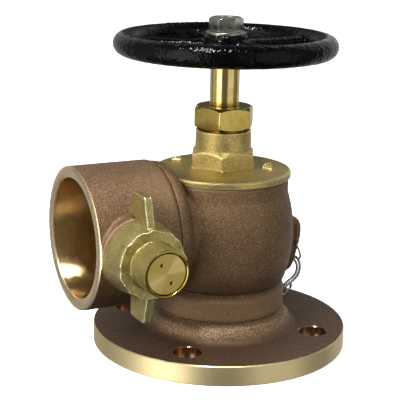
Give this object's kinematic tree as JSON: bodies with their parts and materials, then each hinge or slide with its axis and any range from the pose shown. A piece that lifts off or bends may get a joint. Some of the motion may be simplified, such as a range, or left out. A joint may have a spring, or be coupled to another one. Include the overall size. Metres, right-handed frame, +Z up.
{
  "type": "flanged hydrant valve",
  "caption": "Right-angle screw-down stop valve with a flanged inlet, a handwheel on a rising spindle and a female hose outlet with one sprung pull lug and a chain.",
  "frame": {"origin": "bottom centre of the bounding box, on the flange's mounting face; the spindle's axis is 9.75 mm from it along +X and 2.25 mm along +Y", "axes": "+Z up along the spindle, away from the flange; -X out of the hose outlet's mouth; the pull lug lies along Y and points to -Y"},
  "size_m": [0.1844, 0.1694, 0.2113],
  "materials": {
    "cast_gunmetal": "rough sand-cast",
    "cast_brass": "fine cast, dull",
    "turned_brass": "turned, satin",
    "black_iron": "gloss black paint over a cast skin",
    "steel": "satin",
    "rubber": "matt",
    "fibre": "matt packing and jointing"
  },
  "bodies": {
    "root": {"valve_body": "cast_gunmetal", "hose_outlet": "cast_gunmetal", "outlet_gasket": "fibre", "outlet_seal": "rubber", "bonnet": "cast_brass", "bonnet_gasket": "fibre", "gland_nut": "turned_brass", "gland_follower": "turned_brass", "gland_packing_1": "fibre", "gland_packing_2": "fibre", "gland_packing_3": "fibre", "spring_housing": "turned_brass", "lug_spring": "steel"},
    "clack": {"clack_holder": "turned_brass", "seat_washer": "rubber", "washer_plate": "turned_brass", "clack_nut": "turned_brass", "spindle_retaining_ring": "turned_brass"},
    "spindle_group": {"spindle": "turned_brass", "handwheel": "black_iron", "wheel_washer": "steel", "wheel_nut": "steel"},
    "pull_lug": {"plunger": "turned_brass", "pull_knob": "cast_brass", "stem_nut": "turned_brass", "knob_cap": "turned_brass"},
    "chain": {"chain_ear_ring": "steel", "chain_long_link": "steel", "chain_link_1": "steel", "chain_link_2": "steel", "chain_link_3": "steel", "chain_end_ring": "steel", "cap_hook": "steel"}
  },
  "joints": [
    {"name": "handwheel_turn", "type": "hinge", "parent": "clack", "child": "spindle_group", "pos_m": [0.00975, 0.00225, 0.1944], "axis": [0, 0, 1], "range_deg": [0, 1440]},
    {"name": "clack_lift", "type": "slide", "parent": "root", "child": "clack", "axis": [0, 0, 1], "range_m": [0, 0.02033]},
    {"name": "lug_pull", "type": "slide", "parent": "root", "child": "pull_lug", "axis": [0, -1, 0], "range_m": [0, 0.008], "stiffness_N_per_m": 3000, "springref_m": -0.005, "deforming": ["lug_spring"]},
    {"name": "chain_swing", "type": "hinge", "parent": "root", "child": "chain", "pos_m": [0.06475, 0.00225, 0.0594], "axis": [0, -1, 0], "range_deg": [0, 30]}
  ],
  "couplings": [
    {"joint": "clack_lift", "follows": "handwheel_turn", "m_per_rad": 0.00080851}
  ]
}
